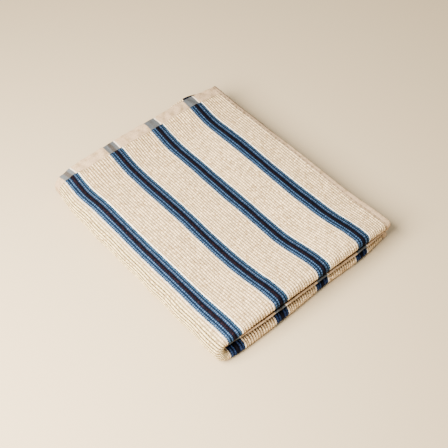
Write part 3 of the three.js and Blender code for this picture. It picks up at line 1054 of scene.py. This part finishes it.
    def weave_ribs(self):
        """Yarn of the ribs, with painted brown shade on their roots inside the folds at the front.
        """
        beside = (self.in_stripe > -WHITE_EDGE) * (self.in_stripe < STRIPE_RIBS + FAR_WHITE_EDGE)
        yarn = self.blend(beside, self.cream(), self.stripe())
        yarn = self.tone(yarn, LOOP_DARKEST + self.loop_chance * LOOP_TONES)
        # Painted shade on the roots of the ribs inside the front folds, strongest in the valleys
        into_fold = self.lengthwise - self.fold_start
        in_fold = self.between(into_fold, *FOLD_SHADE) * self.inside_hems
        root = in_fold * mix(FOLD_CREST_SHARE, 1, self.smooth(self.valley, *FOLD_VALLEY))
        return self.blend(root, yarn, self.colours.fold_painted_shade, kind="MULTIPLY")

    def weave_hems(self, yarn):
        """Adds the flat-woven hems. The stripes run through the end hems as grey and taupe."""
        colours = self.colours
        patches = self.spots(HEM_PATCH, detail=1.0, draw=HEM_PATCH_DRAW)
        patches = self.smooth(patches, *HEM_PATCHES)
        plain = self.blend(patches * HEM_PATCH_SHARE, colours.hem, colours.ground_shade)
        block = self.between(self.in_stripe, *HEM_BLOCK)
        hem = self.blend(block, plain, self.tone(colours.hem_grey, self.fading))
        core_share = 1 - self.smooth(self.rib, *HEM_CORE_RIBS) * HEM_CORE_FADING
        core = self.between(self.in_stripe, *HEM_CORE) * core_share
        hem = self.blend(core, hem, self.tone(colours.hem_taupe, self.fading))
        white = self.between(self.in_stripe, *HEM_WHITE) * HEM_WHITE_SHARE
        hem = self.blend(white, hem, colours.stripe_edge)
        yarn = self.blend(self.end_hem, yarn, hem)
        yarn = self.blend(self.side_hem, yarn, plain)
        stitches = self.stitch_line * mix(THREAD_SHARE, 1, self.stitch_hole) * STITCH_SHARE
        # Painted shadow: a thin dark line along the side hems' outer edge towards the back, in the
        # stitches' colour
        rim_end = 1 - self.smooth(self.lengthwise, *RIM_SHADE_ALONG)
        rim = self.smooth(self.into_side, *RIM_SHADE) * rim_end * RIM_SHADE_SHARE
        yarn = self.blend(stitches + rim, yarn, colours.stitch)

        # Painted shade: the inner end hem takes the folds' painted shade but for its very end
        from_inner_end = self.sizes.length - self.lengthwise
        shade = self.between(from_inner_end, *INNER_HEM_SHADE)
        return self.blend(shade * self.inside_hems, yarn, colours.fold_painted_shade, kind="MULTIPLY")

    def height(self):
        """Height of the yarn in millimetres. Where the mesh has the ribs, they are left out."""
        woven = (1 - self.end_hem) * (1 - self.side_hem)
        round_rib = 1 - self.valley * self.valley
        loop = (1 - self.loop_gap) * (LOOP_LOWEST + self.loop_chance * LOOP_SPREAD)
        loops = loop * round_rib * LOOP_HEIGHT
        raised = self.node("ShaderNodeAttribute", {"attribute_name": RAISED}, None, output="Fac")
        shaped = raised * (self.into_side < 0)
        ribs = (1 - shaped) * round_rib * self.sizes.rib_depth / MM
        weft, warp = [
            self.maths("SINE", place / FLAT_WEAVE * 2 * math.pi)
            for place in (self.across, self.lengthwise)]
        fuzz = self.spots(FUZZ) * FUZZ_HEIGHT
        thread = self.stitch_line * (1 - self.stitch_hole) * THREAD_HEIGHT * self.side_hem
        plain = weft * warp * FLAT_WEAVE_HEIGHT
        return woven * (loops + ribs) + (1 - woven) * plain + fuzz + thread


class TOWEL_OT_cloth(Operator):
    """Makes the folded cloth in place of its plain solid"""

    bl_idname = "towel.cloth"
    bl_label = "Folded cloth"

    def execute(self, context):
        sizes = context.scene.towel_cloth
        cloth = make_cloth_object(build_cloth_mesh(sizes), "towel_cloth")
        cotton = RibbedCotton(sizes, context.scene.towel_colours)
        cloth.data.materials.append(cotton.material)
        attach(cloth, "root")
        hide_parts("towel")
        return {"FINISHED"}


class TOWEL_OT_stage(Operator):
    """Makes the floor, the soft studio light and the camera"""

    bl_idname = "towel.stage"
    bl_label = "Floor, lights and camera"

    def execute(self, context):
        settings = context.scene.towel_stage
        self.make_floor(settings)
        self.make_lights(context, settings)
        self.make_camera(context, settings)
        return {"FINISHED"}

    def make_floor(self, settings):
        half = settings.floor_size / 2
        corners = [(-half, -half, 0), (half, -half, 0), (half, half, 0), (-half, half, 0)]
        mesh = bpy.data.meshes.new("floor")
        mesh.from_pydata(corners, [], [(0, 1, 2, 3)])
        finish = Finish("floor_paint")
        finish.cover({
            "Base Color": paint(settings.floor_colour),
            "Roughness": 0.8,
            "Specular IOR Level": 0.1,
        })
        mesh.materials.append(finish.material)
        add_object("floor", mesh)

    def make_lights(self, context, settings):
        key = bpy.data.lights.new("key_light", "AREA")
        key.shape = "SQUARE"
        key.size = settings.key_size
        key.energy = settings.key_power
        key.color = settings.key_colour
        lamp = add_object("key_light", key)
        lamp.location = settings.key_place
        lamp.rotation_euler = (-lamp.location).to_track_quat("-Z", "Y").to_euler()
        world = bpy.data.worlds.new("studio")
        world.use_nodes = True
        background = world.node_tree.nodes["Background"]
        background.inputs["Color"].default_value = paint(settings.fill_colour)
        background.inputs["Strength"].default_value = settings.fill_strength
        context.scene.world = world

    def make_camera(self, context, settings):
        camera = bpy.data.cameras.new("camera")
        camera.lens = settings.lens
        camera.sensor_width = settings.sensor
        stand = add_object("camera", camera)
        place = Vector(settings.camera_place)
        look = (Vector(settings.camera_aim) - place).to_track_quat("-Z", "Y")
        roll = Matrix.Rotation(settings.camera_roll, 4, "Z")
        stand.matrix_world = Matrix.Translation(place) @ look.to_matrix().to_4x4() @ roll
        context.scene.camera = stand


class TOWEL_PT_sidebar(Panel):
    """Lists the towel's operators and their settings"""

    bl_idname = "TOWEL_PT_sidebar"
    bl_label = "Folded face towel"
    bl_space_type = "VIEW_3D"
    bl_region_type = "UI"
    bl_category = "Towel"

    def draw(self, context):
        operators = {"towel_cloth": TOWEL_OT_cloth, "towel_stage": TOWEL_OT_stage}
        for group in SETTINGS:
            box = self.layout.box()
            settings = getattr(context.scene, group)
            for name in settings.bl_rna.properties.keys():
                if name not in ("rna_type", "name"):
                    box.prop(settings, name)
            if group in operators:
                box.operator(operators[group].bl_idname)


SETTINGS = {
    "towel_cloth": TowelClothSettings,
    "towel_colours": TowelColourSettings,
    "towel_stage": TowelStageSettings,
}
CLASSES = (*SETTINGS.values(), TOWEL_OT_cloth, TOWEL_OT_stage, TOWEL_PT_sidebar)


def register():
    for cls in CLASSES:
        bpy.utils.register_class(cls)
    for name, group in SETTINGS.items():
        setattr(bpy.types.Scene, name, PointerProperty(type=group))


def unregister():
    for name in SETTINGS:
        delattr(bpy.types.Scene, name)
    for cls in reversed(CLASSES):
        bpy.utils.unregister_class(cls)


def main():
    register()
    bpy.ops.towel.cloth()
    bpy.ops.towel.stage()


if __name__ == "__main__":
    main()
